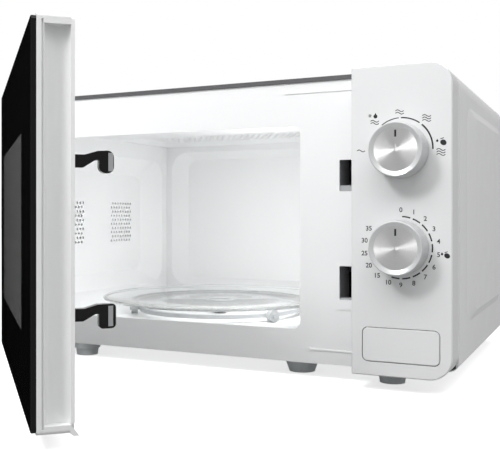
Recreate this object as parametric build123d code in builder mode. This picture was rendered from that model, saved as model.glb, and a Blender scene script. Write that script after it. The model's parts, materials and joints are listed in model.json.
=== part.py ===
"""A countertop microwave oven with a two-knob mechanical control panel, stored with its door open.

X points to the user's right, Y from the front frame to the rear, Z up. The origin is on the ground
below the middle of the front frame. Millimetres throughout.
"""

from build123d import *
import os
from math import cos, radians, sin

os.makedirs("parts", exist_ok=True)

# ---------------------------------------------------------------- driving dimensions
# casing
HALF = 220  # half the casing's width
BASE = 12.5  # height of the feet, and of the casing's underside
TOP = 259.2
REAR = 285
SHEET = 1.0  # casing sheet metal
CORNER = 18  # the wrapper's bent corners
WRAP_FRONT = 1.3
WRAP_LOW = 19.6  # the wrapper's lower edges
PLATE_TOP = 255.4  # top of the front frame, below the seal strip

# cavity
CAV_LEFT = -200
CAV_RIGHT = 88
CAV_FLOOR = 33
CAV_CEILING = 229.5
CAV_BACK = 270
CAV_SHEET = 0.8
MOUTH_X = (-198.3, 86.3)  # the opening in the front frame
MOUTH_Z = (41, 218)

# turntable, centred in the cavity
TABLE_X = (CAV_LEFT + CAV_RIGHT) / 2
TABLE_Y = CAV_BACK / 2
TRAY_RADIUS = 127.5
TRAY_LOW = 45.6
ROLLER_RADIUS = 6
ROLLER_Z = CAV_FLOOR + ROLLER_RADIUS + 0.3
ROLLER_TRACK = 93.5  # from the turntable's axis to the middle of a roller

# control panel
PANEL_LEFT = 140.6
PANEL_DEPTH = 29.2
PANEL_WALL = 2.4
PANEL_CORNER = 18
KNOB_X = 180.6
POWER_Z = 190.8
TIMER_Z = 114.9
KNOB_RADIUS = 21.6
KNOB_BASE = -PANEL_DEPTH - 0.8
KNOB_FACE = -49.2
CAP_RADIUS = 16.8
CAP_BACK = KNOB_FACE + 2.8  # the cap lies in a recess behind the knob's rim
SHAFT_RADIUS = 3
BUTTON_X = (149.9, 210.3)
BUTTON_Z = (24.1, 50.7)

# latch slots in the front frame, as heights
SLOT_X = (121.7, 134.7)
UPPER_SLOT = (160.7, 187.2)
LOWER_SLOT = (68.5, 97.1)

# door, measured as if shut
DOOR_LEFT = -219.6
DOOR_RIGHT = 139.8
DOOR_LOW = 9.8
DOOR_HIGH = 261
GLASS_BACK = -25.9
FRAME_BACK = -5.2
DOOR_BACK = -3.2
FRAME_WALL = 2.4
WINDOW_X = (-168, 62)
WINDOW_Z = (62, 196)
LATCH_SPACE = 131.2  # the frame's free-end wall starts here
HINGE_X = -216
HINGE_Y = -18
PIN_RADIUS = 2.5
DOOR_ANGLE = 46.3  # how far the door stands open
HOOK_X = (125, 131)

# magnetron and fan, in the compartment on the right
TUBE_Y = 150
TUBE_Z = 175
FAN_X = 152
FAN_Z = 150


# ---------------------------------------------------------------- planes
def level(z):
    """A level plane at height z."""
    return Plane.XY.offset(z)


def front(y):
    """A plane facing the user at depth y: local x is right, local y is up."""
    return Plane(origin=(0, y, 0), x_dir=(1, 0, 0), z_dir=(0, -1, 0))


def side(x):
    """A plane facing right at x: local x is backward, local y is up."""
    return Plane(origin=(x, 0, 0), x_dir=(0, 1, 0), z_dir=(1, 0, 0))


# The door's planes take the sizes of the shut door, and place them where the open door stands.
COS = cos(radians(DOOR_ANGLE))
SIN = sin(radians(DOOR_ANGLE))


def door_point(x, y, z=0):
    """Where a point of the shut door is when the door stands open."""
    along, across = x - HINGE_X, y - HINGE_Y
    return (HINGE_X + along * COS + across * SIN, HINGE_Y - along * SIN + across * COS, z)


def door_level(z):
    return Plane(origin=door_point(0, 0, z), x_dir=(COS, -SIN, 0), z_dir=(0, 0, 1))


def door_front(y):
    return Plane(origin=door_point(0, y), x_dir=(COS, -SIN, 0), z_dir=(-SIN, -COS, 0))


def door_side(x):
    return Plane(origin=door_point(x, 0), x_dir=(SIN, COS, 0), z_dir=(COS, -SIN, 0))


# ---------------------------------------------------------------- shapes
def block(plane, x_span, y_span, depth, radius=0.0, mode=Mode.ADD):
    """A slab given by its two spans in a plane and its depth along the plane's normal."""
    width = x_span[1] - x_span[0]
    height = y_span[1] - y_span[0]
    with BuildSketch(plane) as outline:
        with Locations((x_span[0] + width / 2, y_span[0] + height / 2)):
            if radius:
                RectangleRounded(width, height, radius)
            else:
                Rectangle(width, height)
    extrude(to_extrude=outline.sketch, amount=depth, mode=mode)


def rod(plane, centres, radius, depth, mode=Mode.ADD):
    """Round bars or holes at one or more centres in a plane."""
    with BuildSketch(plane) as outline:
        with Locations(*centres):
            Circle(radius)
    extrude(to_extrude=outline.sketch, amount=depth, mode=mode)


def prism(plane, points, depth, rounding=0.0, mode=Mode.ADD):
    """A slab with a polygonal outline, its corners rounded if a rounding is given."""
    with BuildSketch(plane) as outline:
        with BuildLine():
            Polyline(*points, close=True)
        make_face()
        if rounding:
            fillet(outline.vertices(), rounding)
    extrude(to_extrude=outline.sketch, amount=depth, mode=mode)


def grown(span, by):
    return (span[0] - by, span[1] + by)


def pressing(plane, outer, inner, depth, sheet, corner):
    """A bevelled field pressed into a sheet that starts at the plane. A negative depth presses it
    against the plane's normal."""
    step = sheet if depth > 0 else -sheet
    for swell, rise, mode in ((sheet, depth + step, Mode.ADD), (0, depth, Mode.SUBTRACT)):
        rings = []
        for (across, up), at, radius in ((outer, 0, corner), (inner, rise, corner * 0.6)):
            wide, high = grown(across, swell), grown(up, swell)
            with BuildSketch(plane.offset(at)) as ring:
                with Locations((sum(wide) / 2, sum(high) / 2)):
                    RectangleRounded(wide[1] - wide[0], high[1] - high[0], radius)
            rings.append(ring.sketch)
        loft(sections=rings, mode=mode)


def staggered(across, up, columns, rows, pitch, centre):
    """Points of a staggered grid of holes."""
    points = []
    for row in range(rows):
        shift = pitch / 4 if row % 2 else -pitch / 4
        for column in range(columns):
            x = centre[0] + (column - (columns - 1) / 2) * across + shift
            points.append((x, centre[1] + (row - (rows - 1) / 2) * up))
    return points


def spun(axis, points, plane, mode=Mode.ADD):
    """A turned body from the outline of one side of its section."""
    with BuildSketch(plane) as outline:
        with BuildLine():
            Polyline(*points, close=True)
        make_face()
    revolve(profiles=outline.sketch, axis=axis, mode=mode)


def save(piece, name):
    piece.part.label = name
    export_step(piece.part, f"parts/{name}.step")


# ---------------------------------------------------------------- casing
with BuildPart() as front_plate:
    block(front(0), (-HALF + 0.4, HALF + 0.4), (BASE, PLATE_TOP), -SHEET, CORNER)
    block(front(0), (118, PANEL_LEFT - 0.2), (60, 240), 0.5)  # stamped field
    block(front(0), (72, PANEL_LEFT - 0.2), (245.9, 247.1), 0.6, 0.5)  # stamped ribs
    block(front(0), (94, PANEL_LEFT - 0.2), (23.9, 25.1), 0.6, 0.5)
    rod(front(0), [(94.8, 24.5)], 1.6, 0.8)
    block(front(1), MOUTH_X, MOUTH_Z, 4, 7, Mode.SUBTRACT)
    block(front(1), SLOT_X, UPPER_SLOT, 4, 1, Mode.SUBTRACT)
    block(front(1), SLOT_X, LOWER_SLOT, 4, 1, Mode.SUBTRACT)
    block(front(1), (146, 212), (60, 240), 4, 2, Mode.SUBTRACT)  # for the control units
    block(front(1), (146, 162), (30, 52), 4, 2, Mode.SUBTRACT)  # for the button's pusher
save(front_plate, "front_plate")

with BuildPart() as top_seal_strip:
    strip = (-HALF + CORNER, PANEL_LEFT - 1)
    block(front(WRAP_FRONT), strip, (PLATE_TOP + 0.1, PLATE_TOP + 2), WRAP_FRONT + 1.4)
    block(front(WRAP_FRONT), strip, (PLATE_TOP + 2, TOP), WRAP_FRONT + 0.7)
save(top_seal_strip, "top_seal_strip")

with BuildPart() as outer_wrapper:
    with BuildSketch(front(WRAP_FRONT)) as bend:
        for inset, mode in ((0, Mode.ADD), (SHEET, Mode.SUBTRACT)):
            with Locations((0, TOP / 2)):
                RectangleRounded((HALF - inset) * 2, TOP - inset * 2, CORNER - inset, mode=mode)
        with Locations((0, 0)):
            Rectangle(HALF * 2, WRAP_LOW * 2, mode=Mode.SUBTRACT)
        with Locations((-HALF, TOP / 2)):
            Rectangle(HALF * 2, TOP, mode=Mode.SUBTRACT)
    extrude(to_extrude=bend.sketch, amount=-(REAR - SHEET - WRAP_FRONT))
    pressing(side(HALF - SHEET), ((28, 262), (48, 234)), ((74, 246), (58, 224)), 2.4, SHEET, 20)
    mirror(about=Plane.YZ)
    for row in range(6):  # exhaust louvres low on the left
        block(side(-HALF), (120, 170), (70 + row * 9, 73 + row * 9), 8, 1.2, Mode.SUBTRACT)
        block(side(-HALF), (120, 170), (70 + row * 9, 73 + row * 9), -8, 1.2, Mode.SUBTRACT)
save(outer_wrapper, "outer_wrapper")

with BuildPart() as rear_panel:
    block(front(REAR), (-HALF + 1.2, HALF - 1.2), (BASE, TOP - 1.3), SHEET, 13)
    grille = staggered(8, 7, 11, 13, 8, (FAN_X, FAN_Z))
    rod(front(REAR + 1), grille, 2.4, 4, Mode.SUBTRACT)
    for row in range(8):  # outlet slots behind the cavity
        block(front(REAR + 1), (-190, -130), (150 + row * 9, 153 + row * 9), 4, 1.2, Mode.SUBTRACT)
    rod(front(REAR + 1), [(190, 34)], 8, 4, Mode.SUBTRACT)
save(rear_panel, "rear_panel")

BASE_HALF = 213.5  # the base plate lies out of sight inside the wrapper's lower edges
with BuildPart() as base_plate:
    block(level(BASE), (-BASE_HALF, BASE_HALF), (WRAP_FRONT, REAR - SHEET - 0.3), SHEET, 22)
    for edge, lip in ((-BASE_HALF, -218.8), (BASE_HALF - SHEET, BASE_HALF)):
        block(level(BASE), (edge, edge + SHEET), (26, 262), 10)
        block(level(BASE + 9), (lip, lip + 5.3), (26, 262), SHEET)
    for column in range(9):  # air inlets under the fan compartment
        block(level(BASE - 1), (104 + column * 9, 107 + column * 9), (205, 245), 4, 1.2, Mode.SUBTRACT)
save(base_plate, "base_plate")

FOOT_CENTRES = [(-147, 14), (163.5, 14), (-147, 262), (163.5, 262)]
with BuildPart() as feet:
    for centre in FOOT_CENTRES:
        with Locations((*centre, 3.5)):
            Cone(10.5, 11.5, 7)
        with Locations((*centre, 9.75)):
            Cylinder(13, 5.5)
save(feet, "feet")

with BuildPart() as centre_foot:
    with Locations((78, 28, BASE / 2)):
        Cone(11.5, 16, BASE)
save(centre_foot, "centre_foot")

# ---------------------------------------------------------------- cavity
VENT_Z = 131.9
with BuildPart() as cavity_left_wall:
    block(side(CAV_LEFT), (SHEET, CAV_BACK), (CAV_FLOOR - 0.8, CAV_CEILING), -CAV_SHEET)
    pressing(side(CAV_LEFT), ((14, 257), (54.7, 210)), ((50, 221), (71.7, 189)), -12, CAV_SHEET, 22)
    for vent_y in (76.3, 176.7):
        vents = staggered(5.7, 5, 8, 10, 5.7, (vent_y, VENT_Z))
        rod(side(CAV_LEFT - 14), vents, 1.5, 4, Mode.SUBTRACT)
save(cavity_left_wall, "cavity_left_wall")

with BuildPart() as cavity_right_wall:
    block(side(CAV_RIGHT), (SHEET, CAV_BACK), (CAV_FLOOR - 0.8, CAV_CEILING), CAV_SHEET)
    pressing(side(CAV_RIGHT), ((20, 250), (60, 205)), ((40, 234), (78, 190)), 8, CAV_SHEET, 18)
    block(side(CAV_RIGHT + 6), (112, 188), (122, 160), 4, 3, Mode.SUBTRACT)  # waveguide mouth
    lamp_holes = staggered(4.5, 4.5, 5, 5, 4.5, (216, 172))
    rod(side(CAV_RIGHT + 6), lamp_holes, 1.5, 4, Mode.SUBTRACT)
save(cavity_right_wall, "cavity_right_wall")

with BuildPart() as cavity_back_wall:
    block(front(CAV_BACK), (CAV_LEFT - 0.8, CAV_RIGHT + 0.8), (CAV_FLOOR - 0.8, 230.3), -CAV_SHEET)
    pressing(front(CAV_BACK), ((-192, 80), (49, 222)), ((-171, 59), (58.5, 212.5)), -8, CAV_SHEET, 22)
save(cavity_back_wall, "cavity_back_wall")

with BuildPart() as cavity_ceiling:
    block(level(CAV_CEILING), (CAV_LEFT - 0.8, CAV_RIGHT + 0.8), (SHEET, CAV_BACK), CAV_SHEET)
    pressing(level(CAV_CEILING), ((-194, 82), (142, 265)), ((-188, 76), (150, 261)), 5, CAV_SHEET, 12)
    pores = staggered(7.8, 7.2, 30, 8, 7.8, (TABLE_X, 231))
    rod(level(CAV_CEILING + 3), pores, 1.9, 4, Mode.SUBTRACT)
save(cavity_ceiling, "cavity_ceiling")

SILL = (SHEET, MOUTH_Z[0])
with BuildPart() as cavity_floor:
    top_line = [SILL, (4, MOUTH_Z[0]), (10, CAV_FLOOR), (CAV_BACK, CAV_FLOOR)]
    low_line = [(y, z - CAV_SHEET) for y, z in reversed(top_line)]
    prism(side(CAV_LEFT), top_line + low_line, CAV_RIGHT - CAV_LEFT)
    rod(level(CAV_FLOOR - 2), [(TABLE_X, TABLE_Y)], 7, 4, Mode.SUBTRACT)
save(cavity_floor, "cavity_floor")

# ---------------------------------------------------------------- control panel
def panel_outline(inset, plane, depth, mode=Mode.ADD):
    """The control panel's outline: square at the door, round at the casing's side."""
    left, right = PANEL_LEFT + inset, HALF - inset
    low, high = BASE + inset, TOP - inset
    with BuildSketch(plane) as outline:
        with Locations(((left + right) / 2, (low + high) / 2)):
            Rectangle(right - left, high - low)
        corners = outline.vertices().group_by(Axis.X)
        fillet(corners[-1], PANEL_CORNER - inset)
        fillet(outline.vertices().group_by(Axis.X)[0], 1.2)
    extrude(to_extrude=outline.sketch, amount=depth, mode=mode)


with BuildPart() as control_panel:
    panel_outline(0, front(0), PANEL_DEPTH)
    chamfer(faces().sort_by(Axis.Y)[0].edges(), 0.8)
    panel_outline(PANEL_WALL, front(0), PANEL_DEPTH - PANEL_WALL, Mode.SUBTRACT)
    block(front(-16), grown(BUTTON_X, 2), grown(BUTTON_Z, 2), 11, 6)  # guide around the button
    block(front(0), grown(BUTTON_X, 0.6), grown(BUTTON_Z, 0.6), 40, 4.8, Mode.SUBTRACT)
    rod(front(0), [(KNOB_X, POWER_Z), (KNOB_X, TIMER_Z)], 4.4, 40, Mode.SUBTRACT)
save(control_panel, "control_panel")

with BuildPart() as release_button:
    block(front(-26), BUTTON_X, BUTTON_Z, PANEL_DEPTH - 26, 4.2)
    chamfer(faces().sort_by(Axis.Y)[0].edges(), 0.5)
    block(front(4.2), (150.5, 158), (38, 41), 30.2)  # pusher
    block(front(-18), (150.5, 158), (34, 45), 8)
    rod(front(-13), [(200, 37.4)], 1.6, 13)
save(release_button, "release_button")


def coil(name, start, way, radius, length, turns, wire=0.5):
    """A helical compression spring that runs one way from its start."""
    with BuildPart() as spring:
        with BuildLine() as path:
            Helix(length / turns, length, radius, center=start, direction=way)
        with BuildSketch(Plane(origin=path.line @ 0, z_dir=path.line % 0)):
            Circle(wire)
        sweep(path=path.line, is_frenet=True)
    save(spring, name)


coil("button_spring", (200, -25.4, 37.4), (0, 1, 0), 3, 14, 6)

# Each control unit holds the knob's shaft in a bore.
for name, height, reach in (("selector_switch", POWER_Z, 4), ("timer_unit", TIMER_Z, 12)):
    with BuildPart() as unit:
        block(front(reach), (KNOB_X - 28, KNOB_X + 28), (height - 28, height + 28), reach + 22, 3)
        rod(front(-22), [(KNOB_X, height)], 6, 2)
        rod(front(-16), [(KNOB_X, height)], SHAFT_RADIUS + 0.06, 12, Mode.SUBTRACT)
        for lug in (-20, 20):  # terminals
            block(front(reach + 8), (KNOB_X + lug - 3, KNOB_X + lug + 3), (height, height + 1), 8)
    save(unit, name)

# ---------------------------------------------------------------- knobs, shafts and caps
for name, height in (("power", POWER_Z), ("timer", TIMER_Z)):
    spin = Axis((KNOB_X, 0, height), (0, 1, 0))
    with BuildPart() as knob:
        skirt = [
            (KNOB_BASE, height),
            (KNOB_BASE, height + KNOB_RADIUS),
            (KNOB_BASE - 3.5, height + KNOB_RADIUS - 0.2),
            (KNOB_FACE + 1.2, height + 21),
            (KNOB_FACE + 0.4, height + 20.8),
            (KNOB_FACE, height + 20.3),
            (KNOB_FACE + 0.2, height + 19.6),
            (KNOB_FACE + 1.4, height + CAP_RADIUS),
            (CAP_BACK, height + CAP_RADIUS),
            (CAP_BACK, height),
        ]
        spun(spin, skirt, side(KNOB_X))
        hollow = [
            (KNOB_BASE + 1, height + 7),
            (KNOB_BASE + 1, height + 19.4),
            (KNOB_FACE + 5, height + 16.5),
            (KNOB_FACE + 5, height + 7),
        ]
        spun(spin, hollow, side(KNOB_X), Mode.SUBTRACT)
        rod(front(KNOB_BASE + 1), [(KNOB_X, height)], SHAFT_RADIUS, 14, Mode.SUBTRACT)
    save(knob, f"{name}_knob")

    with BuildPart() as cap:
        dish = [
            (CAP_BACK, height),
            (CAP_BACK, height + CAP_RADIUS),
            (KNOB_FACE + 1.5, height + CAP_RADIUS),
            (KNOB_FACE + 1.7, height),
        ]
        spun(spin, dish, side(KNOB_X))
        pointer = (KNOB_X - 0.8, KNOB_X + 0.8), (height + 9.5, height + 15)
        block(front(KNOB_FACE + 2), *pointer, 2, 0.4, Mode.SUBTRACT)
    save(cap, f"{name}_knob_cap")

    with BuildPart() as shaft:
        rod(front(-17), [(KNOB_X, height)], SHAFT_RADIUS, 26)
    save(shaft, f"{name}_shaft")

# ---------------------------------------------------------------- door release and interlock
LEVER_Y = 7
LEVER_Z = 62
with BuildPart() as release_lever:
    rod(side(117.5), [(LEVER_Y, LEVER_Z)], 2, 41)
    rod(side(121), [(LEVER_Y, LEVER_Z)], 4, 14)
    rod(side(139.5), [(LEVER_Y, LEVER_Z)], 3.4, 18.5)
    block(side(124), (LEVER_Y, LEVER_Y + 15), (61, 66), 8, 1)  # lifts the lower hook
    block(side(149), (4.5, 9.5), (36, LEVER_Z), 9, 1)  # pushed by the button
save(release_lever, "release_lever")

with BuildPart() as latch_housing:
    for cheek in (117.5, 136):
        block(side(cheek), (WRAP_FRONT, 34), (68, 200), 2.5)
        block(side(cheek), (2, 12), (57, 68), 2.5)
    block(side(120), (WRAP_FRONT, 34), (102, 158), 16)  # bridge between the slots
    block(side(120), (WRAP_FRONT, 34), (190, 200), 16)
    block(side(120), (WRAP_FRONT, 10.5), (161, 165.6), 16)  # keeper ledges
    block(side(120), (WRAP_FRONT, 10.5), (68, 69.8), 16)
    block(side(120), (4, 30), (106, 154), 16, 2, Mode.SUBTRACT)
    rod(side(117), [(LEVER_Y, LEVER_Z)], 2.06, 22, Mode.SUBTRACT)
save(latch_housing, "latch_housing")

SWITCH_HEIGHTS = {"upper": 177, "lower": 84}
with BuildPart() as microswitches:
    for height in SWITCH_HEIGHTS.values():
        block(side(122), (34.3, 50), (height - 11, height + 11), 12, 1)
        rod(front(40), [(128, height)], 2.06, 8, Mode.SUBTRACT)
        for terminal in (-7, 7):
            block(side(126), (50, 57), (height + terminal, height + terminal + 1), 4)
save(microswitches, "microswitches")

for name, height in SWITCH_HEIGHTS.items():
    with BuildPart() as plunger:
        rod(front(38), [(128, height)], 2, 11)
    save(plunger, f"{name}_switch_plunger")

# ---------------------------------------------------------------- door
with BuildPart() as door_glass:
    block(door_front(GLASS_BACK), (DOOR_LEFT, DOOR_RIGHT), (11, 259.2), 3.3, 3)
    chamfer(edges().group_by(Axis((0, 0, 0), (SIN, COS, 0)))[0], 0.5)
save(door_glass, "door_glass")

POCKETS = ((250.5, 255.5), (15, 20.2))  # where the hinge plates enter the door
POCKET = ((DOOR_LEFT - 3, HINGE_X + 8), (HINGE_Y - 5.5, 0))

with BuildPart() as door_frame:
    FRAME_DEPTH = FRAME_BACK - GLASS_BACK
    block(door_front(FRAME_BACK), (DOOR_LEFT, DOOR_RIGHT), (DOOR_LOW, DOOR_HIGH), FRAME_DEPTH, 2.5)
    hollow_x = (DOOR_LEFT + FRAME_WALL, LATCH_SPACE)
    hollow_z = grown((DOOR_LOW, DOOR_HIGH), -FRAME_WALL)
    block(door_front(FRAME_BACK), hollow_x, hollow_z, FRAME_DEPTH - 2.2, 1, Mode.SUBTRACT)
    block(door_front(-8), grown(WINDOW_X, 2.4), grown(WINDOW_Z, 2.4), -GLASS_BACK - 8, 5)
    block(door_front(0), WINDOW_X, WINDOW_Z, 40, 3, Mode.SUBTRACT)
    boss = (DOOR_LEFT + 1, HINGE_X + 8.5), (GLASS_BACK + 1, -9)
    block(door_level(243), *boss, DOOR_HIGH - 244)
    block(door_level(DOOR_LOW + 1), *boss, 17)
    for low, high in POCKETS:
        block(door_level(low), *POCKET, high - low, 0, Mode.SUBTRACT)
    hinge_centre = [(HINGE_X, HINGE_Y)]
    rod(door_level(243), hinge_centre, PIN_RADIUS + 0.06, 16, Mode.SUBTRACT)
    rod(door_level(11), hinge_centre, PIN_RADIUS + 0.06, 20, Mode.SUBTRACT)
    # the scooped grip and the seam along the free end
    with BuildSketch(door_level(15)) as scoop:
        with Locations((DOOR_RIGHT, -13.35)):
            Ellipse(6.8, 7.95)
    extrude(to_extrude=scoop.sketch, amount=239.6, mode=Mode.SUBTRACT)
    block(door_side(DOOR_RIGHT - 1.6), (-22.9, -21.7), (13, 257), 4, 0, Mode.SUBTRACT)
    # spring seat above the latch bar, and the foot at the lower free corner
    block(door_level(211), (118, LATCH_SPACE + 0.5), (GLASS_BACK + 1, -9), 3)
    prism(door_side(DOOR_RIGHT - 3), [(-6, 9.9), (-6, 15.5), (-0.6, 8.2), (-4, 8.2)], 3)
save(door_frame, "door_frame")

with BuildPart() as door_inner_panel:
    panel_z = grown((DOOR_LOW, DOOR_HIGH), -1.2)
    block(door_front(DOOR_BACK), (DOOR_LEFT + 0.6, DOOR_RIGHT), panel_z, DOOR_BACK - FRAME_BACK, 2.5)
    block(door_front(0), grown(WINDOW_X, -6), grown(WINDOW_Z, -6), 10, 6, Mode.SUBTRACT)
    block(door_front(0), (123.6, 132.4), (165.5, 187), 10, 1, Mode.SUBTRACT)
    block(door_front(0), (123.6, 132.4), (69.5, 92), 10, 1, Mode.SUBTRACT)
    for low, high in POCKETS:
        block(door_level(low), *POCKET, high - low, 0, Mode.SUBTRACT)
    block(door_side(DOOR_RIGHT - 3.2), (-10, 0), (8, 16), 5, 0, Mode.SUBTRACT)
save(door_inner_panel, "door_inner_panel")

with BuildPart() as door_screen:
    block(door_front(-20.4), grown(WINDOW_X, -0.2), grown(WINDOW_Z, -0.2), 0.6, 2.8)
save(door_screen, "door_screen")

with BuildPart() as door_window_film:
    block(door_front(-6), grown(WINDOW_X, -0.2), grown(WINDOW_Z, -0.2), 1, 2.8)
save(door_window_film, "door_window_film")

with BuildPart() as door_choke_ring:
    block(door_front(FRAME_BACK), (-204, 112), (30, 242), 0.8, 4)
    block(door_front(FRAME_BACK), (-204, 112), (30, 242), 9, 4)
    block(door_front(FRAME_BACK - 0.8), (-203.2, 111.2), (30.8, 241.2), 12, 3.2, Mode.SUBTRACT)
    block(door_front(0), grown(WINDOW_X, 4), grown(WINDOW_Z, 4), 20, 6, Mode.SUBTRACT)
save(door_choke_ring, "door_choke_ring")

# Both hooks drop behind a keeper ledge. Outlines are depth and height, at the shut door.
UPPER_ARM = [
    (-12, 169.6),
    (3, 169.6),
    (10.5, 174.3),
    (15, 174.3),
    (18, 178),
    (15.5, 180.2),
    (12, 180),
    (4, 177.6),
    (-12, 177.6),
]
LOWER_ARM = [
    (-12, 75.4),
    (3, 75.4),
    (10.5, 79.6),
    (15, 79.6),
    (18, 83),
    (15.5, 85.5),
    (12, 85.5),
    (4, 83.2),
    (-12, 83.2),
]
UPPER_HEAD = ((12.7, 22.3), (166.3, 180.3), 4.2)  # depth, height, rounding
LOWER_HEAD = ((12.7, 23.7), (70.5, 85.6), 2.6)
HOOK_THICKNESS = HOOK_X[1] - HOOK_X[0]
with BuildPart() as latch_bar:
    block(door_side(HOOK_X[0]), (-20, -9), (66, 190), HOOK_THICKNESS, 1.5)
    for arm, (depths, heights, rounding) in ((UPPER_ARM, UPPER_HEAD), (LOWER_ARM, LOWER_HEAD)):
        prism(door_side(HOOK_X[0]), arm, HOOK_THICKNESS, 0.8)
        block(door_side(HOOK_X[0]), depths, heights, HOOK_THICKNESS, rounding)
        # the tip's outer side is cut on a slant
        slant = [(HOOK_X[1] + 0.2, 17.6), (HOOK_X[1] + 0.2, 24.5), (HOOK_X[1] - 2.8, 24.5)]
        prism(door_level(heights[0] - 2), slant, 20, 0, Mode.SUBTRACT)
    rod(door_level(190), [(128, -14.5)], 1.6, 13)
save(latch_bar, "latch_bar")

coil("latch_spring", door_point(128, -14.5, 190.6), (0, 0, 1), 2.4, 13.5, 6)

# ---------------------------------------------------------------- hinges
with BuildPart() as hinge_plates:
    for tongue_z, leg_z, pin_z in ((252, (236, 254), (245, 258.5)), (16.6, (16.6, 36), (11.5, 25))):
        block(level(tongue_z), (HINGE_X - 3.4, HINGE_X + 5), (HINGE_Y, 0), 2)
        rod(level(tongue_z), hinge_centre, 5, 2)
        block(front(0), (HINGE_X - 3.4, -194), leg_z, 1.5, 1)
        rod(level(pin_z[0]), hinge_centre, PIN_RADIUS, pin_z[1] - pin_z[0])
save(hinge_plates, "hinge_plates")

# ---------------------------------------------------------------- turntable
table_centre = [(TABLE_X, TABLE_Y)]
table_axis = Axis((TABLE_X, TABLE_Y, 0), (0, 0, 1))
table_section = Plane(origin=(TABLE_X, TABLE_Y, 0), x_dir=(1, 0, 0), z_dir=(0, -1, 0))

with BuildPart() as turntable_tray:
    glass_section = [
        (0, TRAY_LOW),
        (98, TRAY_LOW),
        (120, TRAY_LOW + 2.6),
        (TRAY_RADIUS - 1, TRAY_LOW + 4.4),
        (TRAY_RADIUS, TRAY_LOW + 6.2),
        (TRAY_RADIUS - 1, TRAY_LOW + 7.6),
        (TRAY_RADIUS - 3, TRAY_LOW + 7.4),
        (118, TRAY_LOW + 5.4),
        (95, TRAY_LOW + 3),
        (91, TRAY_LOW + 2.6),
        (0, TRAY_LOW + 2.6),
    ]
    spun(table_axis, glass_section, table_section)
    with BuildSketch(level(TRAY_LOW - 2)) as lugs:  # the lugs that the coupler turns
        with Locations(*table_centre):
            with PolarLocations(19, 3):
                Circle(4)
    extrude(to_extrude=lugs.sketch, amount=2.5)
save(turntable_tray, "turntable_tray")

with BuildPart() as turntable_coupler:
    rod(level(24), table_centre, 3.5, 14)
    rod(level(36), table_centre, 9, 9)
    with BuildSketch(level(41)) as lobes:
        with Locations(*table_centre):
            with PolarLocations(9, 3, start_angle=60):
                Circle(5)
    extrude(to_extrude=lobes.sketch, amount=4)
save(turntable_coupler, "turntable_coupler")

with BuildPart() as turntable_motor:
    rod(level(14.2), table_centre, 24, 15.8)
    block(level(28), (TABLE_X - 32, TABLE_X + 32), (TABLE_Y - 5, TABLE_Y + 5), 1.5, 3)
    rod(level(20), table_centre, 3.56, 20, Mode.SUBTRACT)
save(turntable_motor, "turntable_motor")

ROLLER_ANGLES = (90, 210, 330)


def spoke(angle, radius):
    """A plane across the spoke at an angle, facing outward at a radius from the turntable's axis."""
    out = (cos(radians(angle)), sin(radians(angle)), 0)
    centre = (TABLE_X + radius * out[0], TABLE_Y + radius * out[1], ROLLER_Z)
    return Plane(origin=centre, x_dir=(-out[1], out[0], 0), z_dir=out)


with BuildPart() as roller_ring:
    rod(level(ROLLER_Z - 2), table_centre, 88, 4)
    rod(level(ROLLER_Z - 2), table_centre, 82, 4, Mode.SUBTRACT)
    for angle in ROLLER_ANGLES:
        rod(spoke(angle, 86), [(0, 0)], 1.8, 12.5)
        rod(spoke(angle, ROLLER_TRACK + 3.8), [(0, 0)], 2.6, 1.2)
save(roller_ring, "roller_ring")

for index, angle in enumerate(ROLLER_ANGLES):
    with BuildPart() as roller:
        rod(spoke(angle, ROLLER_TRACK - 3.5), [(0, 0)], ROLLER_RADIUS, 7)
        rod(spoke(angle, ROLLER_TRACK - 5), [(0, 0)], 1.87, 10, Mode.SUBTRACT)
    save(roller, f"roller_{index + 1}")

# ---------------------------------------------------------------- microwave generator
GUIDE_Y = (105, 195)
GUIDE_Z = (115, 205)
GUIDE_X = CAV_RIGHT + 8.8
with BuildPart() as waveguide:
    block(side(GUIDE_X), GUIDE_Y, GUIDE_Z, 33)
    block(side(GUIDE_X), grown(GUIDE_Y, -1), grown(GUIDE_Z, -1), 32, 0, Mode.SUBTRACT)
    block(side(GUIDE_X), GUIDE_Y, (162, GUIDE_Z[1]), 1)
    rod(side(GUIDE_X + 20), [(TUBE_Y, TUBE_Z)], 12, 20, Mode.SUBTRACT)
save(waveguide, "waveguide")

with BuildPart() as waveguide_cover:
    block(side(CAV_RIGHT + 7), (106, 194), (116, 166), 0.9, 3)
save(waveguide_cover, "waveguide_cover")

YOKE_X = (GUIDE_X + 34, GUIDE_X + 94)
YOKE_Z = (135, 215)
with BuildPart() as magnetron_yoke:
    block(front(188), YOKE_X, YOKE_Z, 76)
    block(front(190), grown(YOKE_X, -1.5), grown(YOKE_Z, -1.5), 80, 0, Mode.SUBTRACT)
    rod(side(YOKE_X[0] - 1), [(TUBE_Y, TUBE_Z)], 11, 4, Mode.SUBTRACT)
    block(side(YOKE_X[1]), (130, 170), (152, 200), 20)  # filter box
    for fin in range(8):
        fin_x = YOKE_X[0] + 8 + fin * 6
        block(side(fin_x), (114, 186), grown(YOKE_Z, -1.5), 0.8)
    rod(side(YOKE_X[0] + 3), [(TUBE_Y, TUBE_Z)], 18, 54, Mode.SUBTRACT)
save(magnetron_yoke, "magnetron_yoke")

with BuildPart() as magnetron_tube:
    rod(side(YOKE_X[0] + 3), [(TUBE_Y, TUBE_Z)], 18, 54)
    rod(side(GUIDE_X + 12), [(TUBE_Y, TUBE_Z)], 7, 28)
save(magnetron_tube, "magnetron_tube")

CORE_X = (104, 190)
with BuildPart() as transformer_core:
    block(front(130), CORE_X, (13.6, 85.6), 50)
    for window_x in (116, 154):
        block(front(131), (window_x, window_x + 24), (26, 74), 52, 0, Mode.SUBTRACT)
save(transformer_core, "transformer_core")

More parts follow.
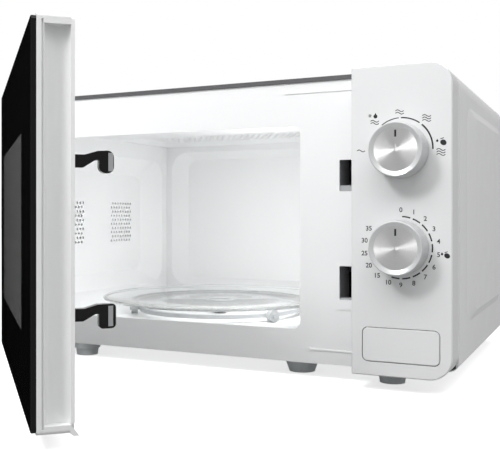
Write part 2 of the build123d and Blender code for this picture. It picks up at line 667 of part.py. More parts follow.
with BuildPart() as transformer_windings:
    block(front(143), (116.3, 177.7), (26.3, 73.7), 76, 6)
    block(front(130), (139.8, 154.2), (26, 74), 50, 0, Mode.SUBTRACT)
save(transformer_windings, "transformer_windings")

with BuildPart() as high_voltage_capacitor:
    block(level(13.6), (100, 134), (196, 256), 52, 14)
    for post in (212, 240):
        block(level(65), (116, 118), (post - 3, post + 3), 9)
save(high_voltage_capacitor, "high_voltage_capacitor")

with BuildPart() as high_voltage_diode:
    rod(side(144), [(200, 30)], 3, 15)
    rod(side(140), [(200, 30)], 0.8, 24)
    block(level(13.6), (161, 163), (196, 204), 20)
save(high_voltage_diode, "high_voltage_diode")

# ---------------------------------------------------------------- cooling fan
with BuildPart() as fan_shroud:
    block(front(272), (FAN_X - 52, FAN_X + 56), (FAN_Z - 52, FAN_Z + 56), 2, 6)
    rod(front(272), [(FAN_X, FAN_Z)], 51, 22)
    rod(front(273), [(FAN_X, FAN_Z)], 49, 30, Mode.SUBTRACT)
    for arm in (-30, 30):  # the arms that carry the motor
        block(front(270), (FAN_X + arm - 3, FAN_X + arm + 3), (FAN_Z + 38, FAN_Z + 52), 40)
        block(front(234), (FAN_X + arm - 3, FAN_X + arm + 3), (FAN_Z - 10, FAN_Z + 52), 4)
    rod(front(271), [(FAN_X, FAN_Z)], 49, 24, Mode.SUBTRACT)
save(fan_shroud, "fan_shroud")

with BuildPart() as fan_motor:
    block(front(246), (FAN_X - 26, FAN_X + 26), (FAN_Z - 22, FAN_Z + 18), 12, 2)
    rod(front(246), [(FAN_X, FAN_Z)], 14, 24)
    rod(front(247), [(FAN_X, FAN_Z)], 2.06, 20, Mode.SUBTRACT)
save(fan_motor, "fan_motor")

with BuildPart() as fan_blade:
    rod(front(266), [(FAN_X, FAN_Z)], 2, 36)
    rod(front(266), [(FAN_X, FAN_Z)], 11, 14)
    with Locations(Plane(origin=(FAN_X, 259, FAN_Z), x_dir=(1, 0, 0), z_dir=(0, -1, 0))):
        with PolarLocations(26, 5):
            Box(36, 18, 1.6, rotation=(28, 0, 0))
save(fan_blade, "fan_blade")

# ---------------------------------------------------------------- lamp and electrical parts
with BuildPart() as oven_lamp:
    rod(side(100), [(216, 172)], 8.5, 14)
    fillet(edges().sort_by(Axis.X)[0], 6)
    rod(side(114), [(216, 172)], 6.5, 14)
    block(side(128), (204, 228), (162, 182), 2, 2)
save(oven_lamp, "oven_lamp")

with BuildPart() as filter_board:
    block(level(220), (97, 150), (56, 100), 1.6)
    block(level(221.6), (104, 126), (64, 80), 14, 1)
    rod(level(221.6), [(137, 74)], 6, 12)
    rod(level(221.6), [(114, 91)], 4, 9)
save(filter_board, "filter_board")

with BuildPart() as thermal_cutout:
    block(level(CAV_CEILING + CAV_SHEET), (48, 72), (54, 66), 0.8, 3)
    rod(level(CAV_CEILING + CAV_SHEET), [(60, 60)], 6.5, 7)
save(thermal_cutout, "thermal_cutout")

with BuildPart() as cord_gland:
    rod(front(REAR - SHEET - 4), [(190, 34)], 7.9, -7)
    rod(front(REAR), [(190, 34)], 10.5, -2)
    rod(front(REAR - 6), [(190, 34)], 3.6, -14, Mode.SUBTRACT)
save(cord_gland, "cord_gland")

with BuildPart() as screws:
    rear_spots = [(x, z) for x in (-205, 0, 205) for z in (26, 246)]
    rod(front(REAR), rear_spots, 3.6, -1.4)
    for x, z in rear_spots:  # driver slots
        block(front(REAR + 0.6), (x - 2.6, x + 2.6), (z - 0.5, z + 0.5), -2, 0, Mode.SUBTRACT)
    rod(front(-1.5), [(-202, 241), (-202, 31)], 2.6, 1)
save(screws, "screws")
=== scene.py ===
"""The looks of a countertop microwave oven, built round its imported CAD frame. Metres, Z up."""

import json
import math

import bmesh
import bpy
from mathutils import Matrix, Vector


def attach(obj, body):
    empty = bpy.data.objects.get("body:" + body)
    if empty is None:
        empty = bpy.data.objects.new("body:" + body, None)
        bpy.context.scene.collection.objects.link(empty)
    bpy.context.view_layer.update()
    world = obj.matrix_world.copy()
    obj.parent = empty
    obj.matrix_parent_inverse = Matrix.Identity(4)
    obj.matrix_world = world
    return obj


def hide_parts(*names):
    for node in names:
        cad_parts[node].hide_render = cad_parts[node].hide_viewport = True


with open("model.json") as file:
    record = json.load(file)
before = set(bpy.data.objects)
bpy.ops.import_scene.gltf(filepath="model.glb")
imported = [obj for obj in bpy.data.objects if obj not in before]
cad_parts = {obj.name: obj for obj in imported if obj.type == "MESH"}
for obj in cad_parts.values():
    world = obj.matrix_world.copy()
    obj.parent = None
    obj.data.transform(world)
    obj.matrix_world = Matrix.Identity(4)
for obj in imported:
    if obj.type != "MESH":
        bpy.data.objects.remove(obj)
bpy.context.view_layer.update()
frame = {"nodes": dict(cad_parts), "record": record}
nodes = frame["nodes"]
MM = 0.001

# ---------------------------------------------------------------- sizes of the CAD model, in mm
PANEL_FACE = -29.2
KNOB_X = 180.6
POWER_Z = 190.8
TIMER_Z = 114.9
KNOB_FACE = -49.2
HINGE = (-216.0, -18.0)
DOOR_ANGLE = math.radians(46.3)
WINDOW_X = (-168.0, 62.0)
WINDOW_Z = (62.0, 196.0)
TABLE = (-56.0, 135.0)  # the turntable's axis, in plan
TRAY_LOW = 45.6
TRAY_RADIUS = 127.5

COS, SIN = math.cos(DOOR_ANGLE), math.sin(DOOR_ANGLE)


# ---------------------------------------------------------------- camera, floor and light
CAMERA_PLACE = (0.3275, -0.6594, 0.1408)
CAMERA_HEADING = 26.305  # degrees to the left of straight ahead
CAMERA_LENS = 57.81
CAMERA_SHIFT = (0.0745, -0.0208)


def look_from(place, heading, lens, shift):
    """A level camera."""
    camera = bpy.data.cameras.new("camera")
    camera.lens = lens
    camera.sensor_width = 36
    camera.shift_x, camera.shift_y = shift
    camera.clip_start = 0.01
    holder = bpy.data.objects.new("camera", camera)
    holder.location = place
    holder.rotation_euler = (math.radians(90), 0, math.radians(heading))
    bpy.context.scene.collection.objects.link(holder)
    bpy.context.scene.camera = holder


look_from(CAMERA_PLACE, CAMERA_HEADING, CAMERA_LENS, CAMERA_SHIFT)


def softbox(name, place, target, size, power):
    """A white rectangular lamp, aimed at a target."""
    lamp = bpy.data.lights.new(name, "AREA")
    lamp.shape = "RECTANGLE"
    lamp.size, lamp.size_y = size
    lamp.energy = power
    holder = bpy.data.objects.new(name, lamp)
    holder.location = place
    aim = Vector(target) - Vector(place)
    holder.rotation_euler = aim.to_track_quat("-Z", "Y").to_euler()
    bpy.context.scene.collection.objects.link(holder)
    return holder


def flat_sheet(name, corners):
    """A plain sheet of one face."""
    mesh = bpy.data.meshes.new(name)
    mesh.from_pydata(corners, [], [tuple(range(len(corners)))])
    piece = bpy.data.objects.new(name, mesh)
    bpy.context.scene.collection.objects.link(piece)
    return piece


def new_material(name):
    """An empty material: its tree, and its output."""
    material = bpy.data.materials.new(name)
    material.use_nodes = True
    tree = material.node_tree
    tree.nodes.clear()
    return material, tree, tree.nodes.new("ShaderNodeOutputMaterial")


def node(tree, kind, **values):
    """A shader node with its properties, and its inputs by name or number, set or linked."""
    made = tree.nodes.new("ShaderNode" + kind)
    inputs = values.pop("inputs", {})
    for key, value in values.items():
        setattr(made, key, value)
    for key, value in inputs.items():
        if isinstance(value, bpy.types.NodeSocket):
            tree.links.new(value, made.inputs[key])
        else:
            made.inputs[key].default_value = value
    return made


def grey(value):
    return (value, value, value, 1)


world = bpy.data.worlds.new("studio")
bpy.context.scene.world = world
world.use_nodes = True
sky = world.node_tree
sky.nodes.clear()
path = node(sky, "LightPath")
AMBIENT = 0.5
seen = node(sky, "Background", inputs={0: grey(1), 1: 1.0})
lit = node(sky, "Background", inputs={0: grey(1), 1: AMBIENT})
both = node(
    sky,
    "MixShader",
    inputs={0: path.outputs["Is Camera Ray"], 1: lit.outputs[0], 2: seen.outputs[0]},
)
node(sky, "OutputWorld", inputs={0: both.outputs[0]})

bpy.context.scene.view_settings.view_transform = "Standard"

# The floor glows a little to the camera, like a light table, and throws less light on the oven.
FLOOR_BOUNCE = 0.3
FLOOR_GLOW = 0.62
FLOOR_REACH = 6
FLOOR_LEVEL = -0.0003  # just under the feet
floor_corners = [
    (x * FLOOR_REACH, y * FLOOR_REACH, FLOOR_LEVEL) for x, y in ((-1, -1), (1, -1), (1, 1), (-1, 1))
]
floor = flat_sheet("floor", floor_corners)
material, tree, out = new_material("pale floor")
coords = node(tree, "TexCoord")
cloud = node(tree, "TexNoise", inputs={0: coords.outputs["Object"], "Scale": 1.5})
shade = node(tree, "MapRange", inputs={0: cloud.outputs[0], 3: 0.93, 4: 0.95})
matt = node(tree, "BsdfDiffuse", inputs={0: shade.outputs[0]})
glow = node(tree, "Emission", inputs={0: grey(1), 1: FLOOR_GLOW})
pale = node(tree, "AddShader", inputs={0: matt.outputs[0], 1: glow.outputs[0]})
dull = node(tree, "BsdfDiffuse", inputs={0: grey(FLOOR_BOUNCE)})
rays = node(tree, "LightPath")
split = node(
    tree,
    "MixShader",
    inputs={0: rays.outputs["Is Camera Ray"], 1: dull.outputs[0], 2: pale.outputs[0]},
)
tree.links.new(split.outputs[0], out.inputs[0])
floor.data.materials.append(material)
floor.visible_glossy = False

# a black flag to the left, which the door's glass mirrors
FLAG_ENDS = [(-3.2, -0.9), (-0.45, 2.2)]
FLAG_LOW, FLAG_HIGH = -1.2, 1.5
flag_corners = [(*end, FLAG_LOW) for end in FLAG_ENDS]
flag_corners += [(*end, FLAG_HIGH) for end in FLAG_ENDS[::-1]]
flag = flat_sheet("flag", flag_corners)
material, tree, out = new_material("black flag")
dark = node(tree, "BsdfDiffuse", inputs={0: grey(0.005)})
tree.links.new(dark.outputs[0], out.inputs[0])
flag.data.materials.append(material)
flag.visible_camera = False
flag.visible_diffuse = False
flag.visible_shadow = False

FRONT = (0.1, 0.0, 0.16)
softbox("key", (-0.28, -0.95, 0.95), FRONT, (0.24, 0.24), 5.4)
softbox("top", (0.1, -0.55, 0.9), FRONT, (1.2, 0.4), 5.0)
softbox("side_top", (0.85, 0.15, 1.0), (0.22, 0.15, 0.12), (0.5, 0.5), 1.7)
softbox("floor_wash", (0.0, 0.2, 2.6), (0, 0.2, 0), (3.5, 3.5), 16)
for name, place, target, size, power in (
    ("mouth_fill", (-0.056, -0.004, 0.13), (-0.056, 0.2, 0.13), (0.27, 0.16), 0.02),
    ("cavity_side", (0.06, 0.1, 0.14), (-0.2, 0.16, 0.13), (0.08, 0.08), 0.28),
):
    inner = softbox(name, place, target, size, power)
    inner.visible_camera = False
    inner.visible_glossy = False


# ---------------------------------------------------------------- finishes
NOISE_LOW, NOISE_HIGH = 0.3, 0.7  # most of a noise texture's values lie between these


def finish(
    name,
    colour,
    rough,
    spread=0.03,
    scale=60,
    bump=0.0,
    bump_scale=900,
    rough_spread=0.04,
    stretch=(1, 1, 1),
    shader=None,
):
    """A Principled shader with mottled colour, uneven gloss and a fine surface grain.

    The colour varies by spread, the roughness by rough_spread, in blots of a scale. Stretch makes
    the blots long. Shader holds more inputs by name.
    """
    material, tree, out = new_material(name)
    coords = node(tree, "TexCoord")
    place = node(tree, "Mapping", inputs={0: coords.outputs["Object"], "Scale": stretch})
    cloud = node(tree, "TexNoise", inputs={0: place.outputs[0], "Scale": scale, "Detail": 4})
    low = tuple(c * (1 - spread) for c in colour)
    high = tuple(min(1, c * (1 + spread)) for c in colour)
    tone = node(
        tree, "Mix", data_type="RGBA", inputs={0: cloud.outputs[0], 6: (*low, 1), 7: (*high, 1)}
    )
    gloss = node(
        tree,
        "MapRange",
        inputs={
            0: cloud.outputs[0],
            1: NOISE_LOW,
            2: NOISE_HIGH,
            3: rough - rough_spread,
            4: rough + rough_spread,
        },
    )
    body = node(
        tree,
        "BsdfPrincipled",
        inputs={"Base Color": tone.outputs[2], "Roughness": gloss.outputs[0], **(shader or {})},
    )
    if bump:
        grain = node(
            tree, "TexNoise", inputs={0: place.outputs[0], "Scale": bump_scale, "Detail": 2}
        )
        relief = node(
            tree, "Bump", inputs={"Strength": bump, "Distance": 0.0004, "Height": grain.outputs[0]}
        )
        tree.links.new(relief.outputs[0], body.inputs["Normal"])
    tree.links.new(body.outputs[0], out.inputs[0])
    return material


def clear_finish(name, tint, rough, ior=1.5, ripple_height=0.06, see_through=0.0):
    """Clear glass or film. Lamp light goes straight through, as does a share of what is seen."""
    material, tree, out = new_material(name)
    coords = node(tree, "TexCoord")
    cloud = node(tree, "TexNoise", inputs={0: coords.outputs["Object"], "Scale": 25})
    ripple = node(
        tree,
        "Bump",
        inputs={"Strength": ripple_height, "Distance": 0.001, "Height": cloud.outputs[0]},
    )
    body = node(
        tree,
        "BsdfPrincipled",
        inputs={
            "Base Color": (*tint, 1),
            "Roughness": rough,
            "IOR": ior,
            "Transmission Weight": 1.0,
            "Normal": ripple.outputs[0],
        },
    )
    rays = node(tree, "LightPath")
    share = node(
        tree, "Math", operation="MAXIMUM", inputs={0: rays.outputs["Is Shadow Ray"], 1: see_through}
    )
    through = node(tree, "BsdfTransparent", inputs={0: (*tint, 1)})
    mix = node(
        tree,
        "MixShader",
        inputs={0: share.outputs[0], 1: body.outputs[0], 2: through.outputs[0]},
    )
    tree.links.new(mix.outputs[0], out.inputs[0])
    return material


TURNED_SHADE = 0.8
TURNED_SPREAD = 0.07
TURNED_ROUGH = 0.34
HUB_ROUGH = 0.85  # at the axis, where the brushed rings run together
HUB_EDGES = (0.6 * MM, 2.6 * MM)


def turned_finish(name, centre):
    """Metal brushed in circles round an axis along Y through the centre (x, z)."""
    material, tree, out = new_material(name)
    coords = node(tree, "TexCoord")
    shifted = node(
        tree,
        "VectorMath",
        operation="SUBTRACT",
        inputs={0: coords.outputs["Object"], 1: (centre[0], 0, centre[1])},
    )
    flat = node(
        tree, "VectorMath", operation="MULTIPLY", inputs={0: shifted.outputs[0], 1: (1, 0, 1)}
    )
    radius = node(tree, "VectorMath", operation="LENGTH", inputs={0: flat.outputs[0]})
    rings = node(
        tree,
        "TexNoise",
        noise_dimensions="1D",
        inputs={"W": radius.outputs["Value"], "Scale": 4200, "Detail": 3},
    )
    tone = node(
        tree,
        "MapRange",
        inputs={
            0: rings.outputs[0],
            1: NOISE_LOW,
            2: NOISE_HIGH,
            3: TURNED_SHADE - TURNED_SPREAD,
            4: TURNED_SHADE + TURNED_SPREAD,
        },
    )
    relief = node(
        tree, "Bump", inputs={"Strength": 0.12, "Distance": 0.0002, "Height": rings.outputs[0]}
    )
    gloss = node(
        tree,
        "MapRange",
        inputs={
            0: radius.outputs["Value"],
            1: HUB_EDGES[0],
            2: HUB_EDGES[1],
            3: HUB_ROUGH,
            4: TURNED_ROUGH,
        },
    )
    tangent = node(tree, "Tangent", direction_type="RADIAL", axis="Y")
    body = node(
        tree,
        "BsdfPrincipled",
        inputs={
            "Base Color": tone.outputs[0],
            "Metallic": 1.0,
            "Roughness": gloss.outputs[0],
            "Anisotropic": 0.9,
            "Normal": relief.outputs[0],
            "Tangent": tangent.outputs[0],
        },
    )
    tree.links.new(body.outputs[0], out.inputs[0])
    return material


DOT_PITCH = 2.6
DOT_CUT = 0.12  # how far up the product of the two waves a dot ends
DOT_SHADE = 0.5
WINDOW_SHADE = 0.1


def door_glass_finish():
    """Black-backed gloss glass. The window carries a fine grey dot print in staggered rows."""
    material, tree, out = new_material("black glass")
    coords = node(tree, "TexCoord")
    # along the door from its hinge, and up
    along = node(
        tree,
        "VectorMath",
        operation="DOT_PRODUCT",
        inputs={0: coords.outputs["Object"], 1: (COS, -SIN, 0)},
    )
    start = HINGE[0] * MM * COS - HINGE[1] * MM * SIN
    split = node(tree, "SeparateXYZ", inputs={0: coords.outputs["Object"]})

    def math_node(operation, a, b=0.0):
        return node(tree, "Math", operation=operation, inputs={0: a, 1: b}).outputs[0]

    x = math_node("SUBTRACT", along.outputs["Value"], start - HINGE[0] * MM)
    z = split.outputs["Z"]

    def inside(value, span):
        middle, half = sum(span) / 2 * MM, (span[1] - span[0]) / 2 * MM
        away = math_node("ABSOLUTE", math_node("SUBTRACT", value, middle))
        return math_node("LESS_THAN", away, half)

    window = math_node("MULTIPLY", inside(x, WINDOW_X), inside(z, WINDOW_Z))
    turns = 2 * math.pi / (DOT_PITCH * MM)
    wave_x = math_node("SINE", math_node("MULTIPLY", x, turns))
    wave_z = math_node("SINE", math_node("MULTIPLY", z, turns))
    dots = math_node("GREATER_THAN", math_node("MULTIPLY", wave_x, wave_z), DOT_CUT)
    mask = math_node("MULTIPLY", dots, window)
    cloud = node(tree, "TexNoise", inputs={0: coords.outputs["Object"], "Scale": 18})
    black = node(
        tree,
        "Mix",
        data_type="RGBA",
        inputs={0: cloud.outputs[0], 6: grey(0.004), 7: grey(0.008)},
    )
    back = node(
        tree,
        "Mix",
        data_type="RGBA",
        inputs={0: window, 6: black.outputs[2], 7: grey(WINDOW_SHADE)},
    )
    colour = node(
        tree,
        "Mix",
        data_type="RGBA",
        inputs={0: mask, 6: back.outputs[2], 7: grey(DOT_SHADE)},
    )
    rough = node(tree, "MapRange", inputs={0: cloud.outputs[0], 3: 0.03, 4: 0.07})
    body = node(
        tree,
        "BsdfPrincipled",
        inputs={
            "Base Color": colour.outputs[2],
            "Roughness": rough.outputs[0],
            "Specular IOR Level": 0.2,
        },
    )
    tree.links.new(body.outputs[0], out.inputs[0])
    return material


METAL = {"Metallic": 1.0}
BRUSHED = (1, 1, 18)
# each: name, colour, roughness, colour spread, blot scale, grain height, grain scale, gloss spread
FINISHES = {
    "white_enamel": finish("white enamel", (0.93, 0.935, 0.94), 0.26, 0.004, 40, 0.02, 2400, 0.01),
    "cavity_enamel": finish("cavity enamel", (0.83, 0.835, 0.84), 0.3, 0.005, 45, 0.02, 2400, 0.01),
    "white_plastic": finish(
        "white plastic", (0.82, 0.825, 0.83), 0.24, 0.004, 30, 0.02, 2600, 0.01
    ),
    "door_plastic": finish(
        "door plastic", (0.87, 0.875, 0.875), 0.38, 0.005, 35, 0.04, 2600, 0.01
    ),
    "grey_plastic": finish("grey plastic", (0.42, 0.43, 0.44), 0.45, 0.05, 70, 0.15, 1600),
    "cream_plastic": finish("cream plastic", (0.72, 0.7, 0.63), 0.5, 0.03, 60, 0.15, 1500),
    "silver_plastic": finish(
        "silver plastic",
        (0.66, 0.67, 0.675),
        0.28,
        0.004,
        90,
        0.01,
        2600,
        0.005,
        shader={"Metallic": 0.3},
    ),
    "black_plastic": finish(
        "black plastic",
        (0.004, 0.004, 0.004),
        0.16,
        0.3,
        60,
        0.02,
        1500,
        0.02,
        shader={"Specular IOR Level": 0.3},
    ),
    "red_plastic": finish("red plastic", (0.4, 0.02, 0.015), 0.4, 0.06, 80, 0.1, 1500),
    "clear_plastic": clear_finish("clear film", (0.95, 0.96, 0.96), 0.04, 1.45),
    "circuit_board": finish("circuit board", (0.03, 0.2, 0.08), 0.35, 0.3, 220, 0.2, 700),
    "mica": finish("mica", (0.55, 0.48, 0.34), 0.4, 0.12, 160, 0.25, 500),
    "galvanised_steel": finish(
        "galvanised steel", (0.5, 0.51, 0.52), 0.38, 0.12, 130, 0.05, 900, 0.1, shader=METAL
    ),
    "dark_steel": finish(
        "dark steel", (0.06, 0.06, 0.065), 0.45, 0.2, 220, 0.2, 900, stretch=BRUSHED, shader=METAL
    ),
    "spring_steel": finish(
        "spring steel", (0.62, 0.62, 0.63), 0.24, 0.06, 300, 0.05, 900, shader=METAL
    ),
    "screen_steel": finish("screen steel", (0.16, 0.16, 0.165), 0.4, 0.1, 200, 0.1, 1500),
    "copper": finish(
        "copper", (0.62, 0.24, 0.1), 0.28, 0.12, 60, 0.3, 500, stretch=(1, 30, 1), shader=METAL
    ),
    "black_glass": door_glass_finish(),
    "clear_glass": clear_finish(
        "clear glass", (0.985, 0.995, 0.99), 0.0, ripple_height=0.01, see_through=0.12
    ),
    "dark_rubber": finish("dark rubber", (0.1, 0.1, 0.105), 0.5, 0.08, 120, 0.1, 900),
    "grey_rubber": finish("grey rubber", (0.72, 0.75, 0.76), 0.55, 0.05, 120, 0.2, 900),
}
KNOB_METAL = {
    "power_knob_cap": turned_finish("power cap metal", (KNOB_X * MM, POWER_Z * MM)),
    "timer_knob_cap": turned_finish("timer cap metal", (KNOB_X * MM, TIMER_Z * MM)),
}


def dress(piece, material):
    """Gives a piece one material and no other."""
    piece.data.materials.clear()
    piece.data.materials.append(material)


for row in frame["record"]["subparts"]:
    name = row["node"]
    dress(nodes[name], KNOB_METAL.get(name) or FINISHES[row["material_slot"]])


# ---------------------------------------------------------------- new pieces
def mesh_from(made, name):
    """The finished mesh of a bmesh, with its faces turned outward."""
    bmesh.ops.recalc_face_normals(made, faces=made.faces)
    mesh = bpy.data.meshes.new(name)
    made.to_mesh(mesh)
    made.free()
    return mesh


def add_piece(name, mesh, body, material, smooth=True):
    """A visible piece that moves with a body."""
    piece = bpy.data.objects.new(name, mesh)
    bpy.context.scene.collection.objects.link(piece)
    if smooth:
        mesh.shade_smooth()
        mesh.set_sharp_from_angle(angle=math.radians(35))
    dress(piece, material)
    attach(piece, body)
    return piece


def lathe(section, centre, steps=160):
    """A turned mesh about a vertical axis, from a closed section of (radius, height) in mm."""
    made = bmesh.new()
    rings = []
    for step in range(steps):
        turn = 2 * math.pi * step / steps
        rings.append(
            [
                made.verts.new(
                    (
                        (centre[0] + r * math.cos(turn)) * MM,
                        (centre[1] + r * math.sin(turn)) * MM,
                        z * MM,
                    )
                )
                for r, z in section
            ]
        )
    count = len(section)
    for step in range(steps):
        here, there = rings[step], rings[(step + 1) % steps]
        for k in range(count):
            made.faces.new((here[k], there[k], there[(k + 1) % count], here[(k + 1) % count]))
    bmesh.ops.remove_doubles(made, verts=made.verts, dist=1e-6)
    bmesh.ops.dissolve_degenerate(made, edges=made.edges, dist=1e-7)
    return mesh_from(made, "lathe")


def arc(centre, radius, start, end, steps=5):
    """Points of an arc in a section, by angles in degrees."""
    points = []
    for step in range(steps + 1):
        turn = math.radians(start + (end - start) * step / steps)
        points.append((centre[0] + radius * math.cos(turn), centre[1] + radius * math.sin(turn)))
    return points


# the glass tray: foot ring, flat centre with a raised hub circle, and a rolled rim
low, edge = TRAY_LOW, TRAY_RADIUS
AXIS_GAP = 0.01  # keeps the innermost ring open
RIM_ROLL = 1.5
under, over = low + 0.6, low + 2.4
underside = [(AXIS_GAP, under), (14, under), (15.5, low), (17, under), (84, under)]
foot_ring = [(87, low + 0.2), (90, low + 0.2), (93, under)]
outer_slope = [(99, low + 0.9), (119, low + 2.9), (edge - 2.2, low + 4.6)]
rim = arc((edge - RIM_ROLL, low + 6.1), RIM_ROLL, -60, 150)
inner_slope = [(edge - 3.6, low + 5.9), (118, low + 5.0), (101, low + 3.4), (96, low + 3.2)]
dish = [(94, low + 2.8), (92, over), (17, over)]
hub_circle = [(15, low + 3.1), (13, low + 3.1), (11.5, over), (AXIS_GAP, over)]
tray_section = underside + foot_ring + outer_slope + rim + inner_slope + dish + hub_circle
tray = add_piece(
    "glass_tray", lathe(tray_section, TABLE), "turntable", FINISHES["clear_glass"]
)
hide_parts("turntable_tray")


def at_door(x, y, z):
    """Where a point of the shut door, in mm, is with the door standing open, in metres."""
    along, across = x - HINGE[0], y - HINGE[1]
    return Vector(
        (
            (HINGE[0] + along * COS + across * SIN) * MM,
            (HINGE[1] - along * SIN + across * COS) * MM,
            z * MM,
        )
    )


def corners_of(x_span, z_span):
    """The corners of a rectangle, in order round it."""
    (left, right), (low, high) = x_span, z_span
    return [(left, low), (right, low), (right, high), (left, high)]


SCREEN_MARGIN = 3  # the least width of plain sheet round the holes


def perforated(x_span, z_span, y_span, pitch, hole, sides=8):
    """A sheet in the door with a grid of round holes of a radius, and a plain margin."""
    columns = int((x_span[1] - x_span[0] - 2 * SCREEN_MARGIN) / pitch)
    rows = int((z_span[1] - z_span[0] - 2 * SCREEN_MARGIN) / pitch)
    x_start = (sum(x_span) - columns * pitch) / 2
    z_start = (sum(z_span) - rows * pitch) / 2
    made = bmesh.new()
    square = [(1, 0), (1, 1), (0, 1), (-1, 1), (-1, 0), (-1, -1), (0, -1), (1, -1)]
    for column in range(columns):
        for row in range(rows):
            x = x_start + (column + 0.5) * pitch
            z = z_start + (row + 0.5) * pitch
            layers = []
            for y in y_span:
                outer = [at_door(x + a * pitch / 2, y, z + b * pitch / 2) for a, b in square]
                turns = [2 * math.pi * k / sides for k in range(sides)]
                inner = [
                    at_door(x + hole * math.cos(t), y, z + hole * math.sin(t)) for t in turns
                ]
                layers.append([[made.verts.new(v) for v in ring] for ring in (outer, inner)])
            for k in range(sides):
                n = (k + 1) % sides
                (o0, i0), (o1, i1) = layers
                made.faces.new((o0[k], o0[n], i0[n], i0[k]))
                made.faces.new((o1[k], i1[k], i1[n], o1[n]))
                made.faces.new((i0[k], i0[n], i1[n], i1[k]))
    # the plain margin round the holes
    holes_x = (x_start, x_start + columns * pitch)
    holes_z = (z_start, z_start + rows * pitch)
    margin = [corners_of(x_span, z_span), corners_of(holes_x, holes_z)]
    layers = [
        [[made.verts.new(at_door(x, y, z)) for x, z in ring] for ring in margin] for y in y_span
    ]
    for k in range(4):
        n = (k + 1) % 4
        (o0, i0), (o1, i1) = layers
        made.faces.new((o0[k], o0[n], i0[n], i0[k]))
        made.faces.new((o1[k], i1[k], i1[n], o1[n]))
        made.faces.new((o0[k], o1[k], o1[n], o0[n]))
    bmesh.ops.remove_doubles(made, verts=made.verts, dist=2e-6)
    return mesh_from(made, "perforated")


screen = add_piece(
    "perforated_screen",
    perforated((-167.8, 61.8), (62.2, 195.8), (-21.0, -20.4), 2.8, 1.05),
    "door",
    FINISHES["screen_steel"],
    smooth=False,
)
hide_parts("door_screen")

# painted reflection: thin grey sheets on the slanted tips of the black hooks stand in for the light
# those tips reflect; as places of the shut door
TIP_INNER, TIP_OUTER = (130.8, 18.5), (129.4, 21.7)
TIP_RISE = 0.05
for name, low, high in (("upper_hook_painted_reflection", 167.6, 179.0), ("lower_hook_painted_reflection", 71.8, 84.4)):
    made = bmesh.new()
    outline = [(*TIP_INNER, low), (*TIP_OUTER, low), (*TIP_OUTER, high), (*TIP_INNER, high)]
    layers = [
        [made.verts.new(at_door(x + rise, y + rise / 2, z)) for x, y, z in outline]
        for rise in (-TIP_RISE, TIP_RISE * 2)
    ]
    made.faces.new(layers[0])
    made.faces.new(layers[1])
    for k in range(4):
        n = (k + 1) % 4
        made.faces.new((layers[0][k], layers[0][n], layers[1][n], layers[1][k]))
    tip = mesh_from(made, name)
    # the grey here is painted reflection on the black hook tips, not the hooks' own colour
    add_piece(name, tip, "latch", FINISHES["grey_plastic"], smooth=False)

# ---------------------------------------------------------------- marks printed on the panel
INK = finish("dial ink", (0.012, 0.012, 0.014), 0.5, 0.2, 300, 0.05, 2500)
INK_DEPTH = 0.04


def printed(name, outlines, letters=(), face=PANEL_FACE, body="casing"):
    """Thin ink on a face that looks toward the user.

    Outlines are lists of faces of (x, z) points in mm, and letters are (text, size, x, z).
    """
    made = bmesh.new()
    for quads in outlines:
        corners = {}
        for quad in quads:
            ring = []
            for point in quad:
                key = (round(point[0], 4), round(point[1], 4))
                if key not in corners:
                    place = (point[0] * MM, (face - INK_DEPTH) * MM, point[1] * MM)
                    corners[key] = made.verts.new(place)
                if corners[key] not in ring:
                    ring.append(corners[key])
            if len(ring) > 2:
                made.faces.new(ring)
    flat = bmesh.ops.extrude_face_region(made, geom=list(made.faces))
    raised = [part for part in flat["geom"] if isinstance(part, bmesh.types.BMVert)]
    bmesh.ops.translate(made, verts=raised, vec=(0, INK_DEPTH * MM, 0))
    for text, size, x, z in letters:
        curve = bpy.data.curves.new("letter", "FONT")
        curve.body = text
        curve.size = size * MM
        curve.align_x, curve.align_y = "CENTER", "CENTER"
        curve.extrude = INK_DEPTH / 2 * MM
        curve.resolution_u = 4
        curve.offset = 0.09 * MM
        holder = bpy.data.objects.new("letter", curve)
        bpy.context.scene.collection.objects.link(holder)
        bpy.context.view_layer.update()
        glyph = bpy.data.meshes.new_from_object(holder)
        turn = Matrix.Rotation(math.radians(90), 4, "X")
        place = Matrix.Translation((x * MM, (face - INK_DEPTH / 2) * MM, z * MM))
        glyph.transform(place @ turn)
        made.from_mesh(glyph)
        bpy.data.objects.remove(holder)
        bpy.data.curves.remove(curve)
        bpy.data.meshes.remove(glyph)
    add_piece(name, mesh_from(made, name), body, INK, smooth=False)


def ribbon(points, width):
    """Quads of a band of a width along a line of points."""
    sides = []
    last = len(points) - 1
    for k, (x, z) in enumerate(points):
        ahead, behind = points[min(k + 1, last)], points[max(k - 1, 0)]
        across = Vector((behind[1] - ahead[1], ahead[0] - behind[0])).normalized() * width / 2
        sides.append(((x + across.x, z + across.y), (x - across.x, z - across.y)))
    return [
        (sides[k][0], sides[k][1], sides[k + 1][1], sides[k + 1][0]) for k in range(last)
    ]


def fan(centre, outline):
    """Triangles that fill an outline round its centre."""
    count = len(outline)
    return [(centre, outline[k], outline[(k + 1) % count]) for k in range(count)]


def dial_arc(centre, radius, start, end, width, steps):
    """A band on a circle, by clock angles from the top, clockwise."""
    points = []
    for step in range(steps + 1):
        turn = math.radians(start + (end - start) * step / steps)
        points.append((centre[0] + radius * math.sin(turn), centre[1] + radius * math.cos(turn)))
    return ribbon(points, width)


WAVE_LENGTH = 6.6
WAVE_HEIGHT = 0.8
WAVE_WIDTH = 0.62
WAVE_GAP = 1.9
WAVE_STEPS = 16
OUTLINE_STEPS = 20


def wave(x, z):
    """One full wave, as a band."""
    points = []
    for step in range(WAVE_STEPS + 1):
        t = step / WAVE_STEPS
        points.append((x + (t - 0.5) * WAVE_LENGTH, z + WAVE_HEIGHT * math.sin(2 * math.pi * t)))
    return ribbon(points, WAVE_WIDTH)


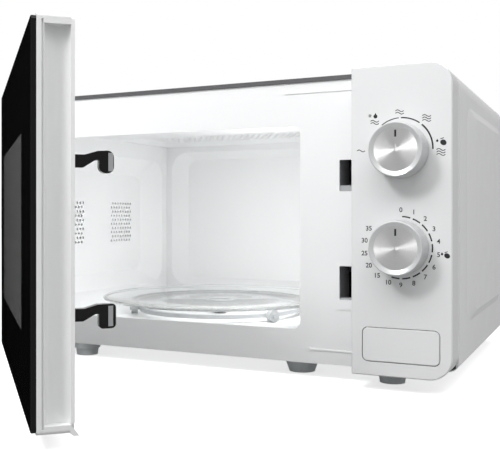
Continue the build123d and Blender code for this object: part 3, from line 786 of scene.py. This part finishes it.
def waves(x, z, count):
    """A stack of waves about a middle."""
    return [wave(x, z + (k - (count - 1) / 2) * WAVE_GAP) for k in range(count)]


def drop(x, z, size):
    """A drop, drawn out to a narrow tip at the top."""
    outline = []
    for step in range(OUTLINE_STEPS):
        turn = 2 * math.pi * step / OUTLINE_STEPS
        pull = 1 + 0.75 * max(0, math.cos(turn)) ** 6
        narrow = 1 if pull < 1.2 else 0.6
        outline.append((x + size * math.sin(turn) * narrow, z + size * pull * math.cos(turn)))
    return fan((x, z), outline)


def star(x, z, size):
    """Three crossed lines."""
    marks = []
    for k in range(3):
        turn = math.pi * k / 3
        dx, dz = size * math.cos(turn), size * math.sin(turn)
        marks.append(ribbon([(x - dx, z - dz), (x, z), (x + dx, z + dz)], 0.4))
    return marks


def disc(x, z, across, up, tilt):
    """A tilted oval."""
    outline = []
    for step in range(OUTLINE_STEPS):
        turn = 2 * math.pi * step / OUTLINE_STEPS
        a, b = across * math.cos(turn), up * math.sin(turn)
        along = a * math.cos(tilt) - b * math.sin(tilt)
        rise = a * math.sin(tilt) + b * math.cos(tilt)
        outline.append((x + along, z + rise))
    return fan((x, z), outline)


power_centre = (KNOB_X + 0.1, POWER_Z + 1.5)
timer_centre = (KNOB_X, TIMER_Z)
POWER_RING = 24.6
TIMER_RING = 24.4
MINUTE_STEP = 20  # degrees from one number to the next
TICK_GAP = 2.4
NUMBER_RING = 29.5
NUMBER_SIZE = 5.2

power_marks = [
    dial_arc(power_centre, POWER_RING, -38, -4, 0.75, 12),
    dial_arc(power_centre, POWER_RING, 0, 36, 1.0, 12),
    dial_arc(power_centre, POWER_RING, 41, 92, 1.25, 16),
]
power_marks += waves(148.7, 191.9, 1)
power_marks += waves(159.8, 214.2, 2)
power_marks += star(156.0, 219.6, 1.6)
power_marks += [drop(160.4, 218.9, 1.6)]
power_marks += waves(179.6, 221.4, 2)
power_marks += waves(200.6, 215.6, 3)
power_marks += waves(211.4, 188.9, 3)
power_marks += [drop(208.6, 197.6, 0.9)]
power_marks += [disc(213.2, 196.2, 2.5, 2.1, -0.6), ribbon([(211.0, 199.0), (213.6, 199.8)], 0.6)]
printed("power_dial_marks", power_marks)

timer_marks = []
for step in range(10):
    start, end = step * MINUTE_STEP + TICK_GAP, (step + 1) * MINUTE_STEP - TICK_GAP
    timer_marks.append(dial_arc(timer_centre, TIMER_RING, start, end, 1.1, 6))
timer_marks += [drop(212.2, 110.4, 0.9)]
timer_marks += [disc(216.0, 109.2, 2.3, 1.9, -0.6), ribbon([(214.2, 111.6), (216.4, 112.4)], 0.6)]
minutes = [str(n) for n in range(11)] + ["15", "20", "25", "30", "35"]
numbers = []
for step, text in enumerate(minutes):
    turn = math.radians(step * MINUTE_STEP)
    x = timer_centre[0] + NUMBER_RING * math.sin(turn)
    z = timer_centre[1] + NUMBER_RING * math.cos(turn)
    numbers.append((text, NUMBER_SIZE, x, z))
printed("timer_dial_marks", timer_marks, numbers)

POINTER_FACE = KNOB_FACE + 1.55  # in the pocket of the recessed cap
for name, height in (("power", POWER_Z), ("timer", TIMER_Z)):
    line = [ribbon([(KNOB_X, height + 9.6), (KNOB_X, height + 14.9)], 1.5)]
    printed(f"{name}_pointer", line, face=POINTER_FACE, body=f"{name}_control")
